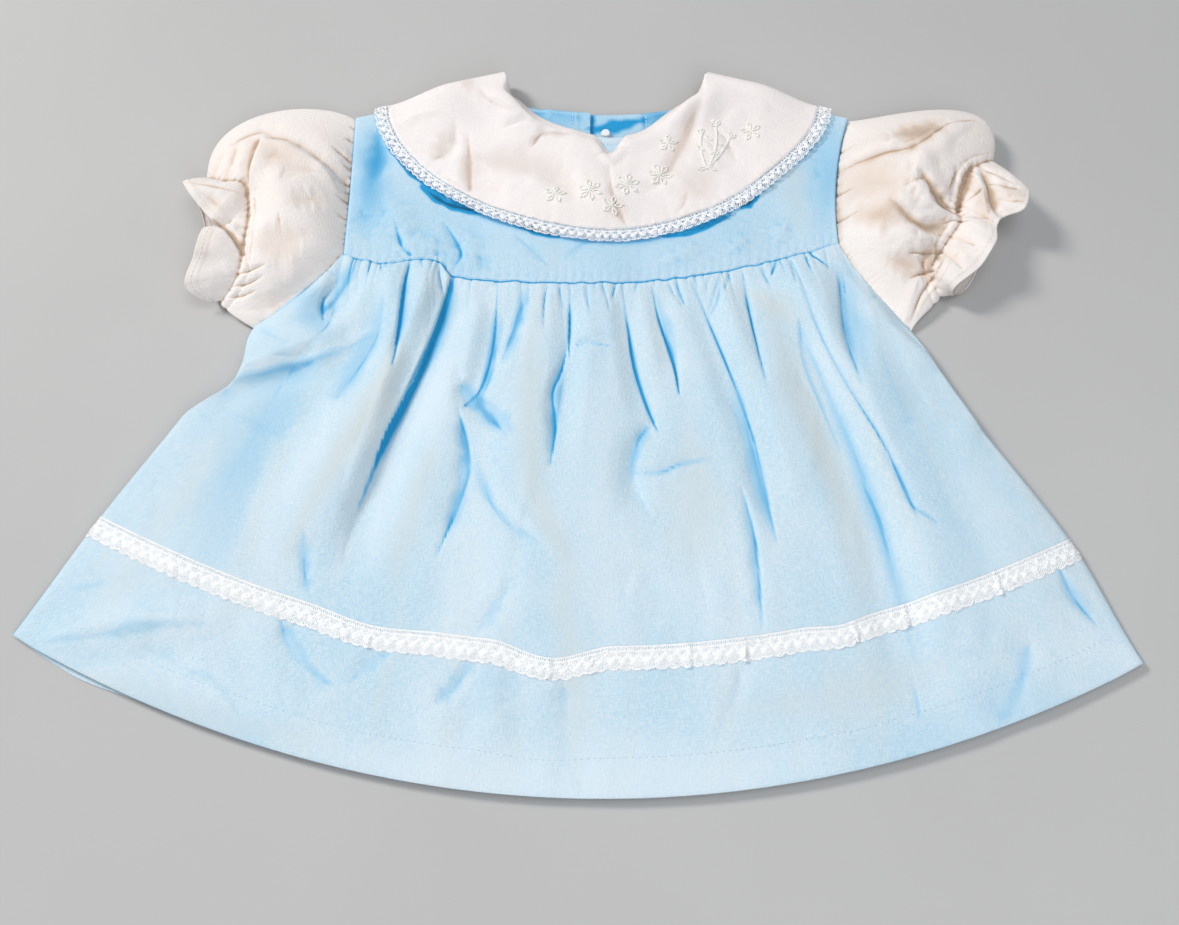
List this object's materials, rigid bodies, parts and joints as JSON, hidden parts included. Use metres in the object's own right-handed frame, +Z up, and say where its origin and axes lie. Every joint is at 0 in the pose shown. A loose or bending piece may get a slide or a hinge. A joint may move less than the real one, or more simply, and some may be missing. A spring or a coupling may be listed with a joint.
{
  "type": "embroidered child's dress",
  "caption": "Short-sleeved child's dress lying flat, with a round embroidered collar, puffed sleeves, a gathered skirt, and lace on the collar and above the hem.",
  "frame": {"origin": "middle of the dress's outline, on the surface that it lies on", "axes": "+X across the dress toward the wearer's left sleeve, +Y from hem to neck, +Z up out of the front"},
  "size_m": [0.458, 0.3456, 0.0201],
  "materials": {
    "blue_cotton": "matt, fine plain weave",
    "ivory_cotton": "matt, fine plain weave",
    "white_lace": "matt, open lace",
    "white_plastic": "slightly glossy"
  },
  "bodies": {
    "root": {"back_skirt": "blue_cotton", "back_snap": "white_plastic", "back_yoke_left": "blue_cotton", "back_yoke_right": "blue_cotton", "collar": "ivory_cotton", "collar_lace": "white_lace", "front_skirt": "blue_cotton", "front_yoke": "blue_cotton", "hem_lace": "white_lace", "neck_binding": "blue_cotton", "sleeve_left": "ivory_cotton", "sleeve_right": "ivory_cotton"}
  },
  "joints": []
}
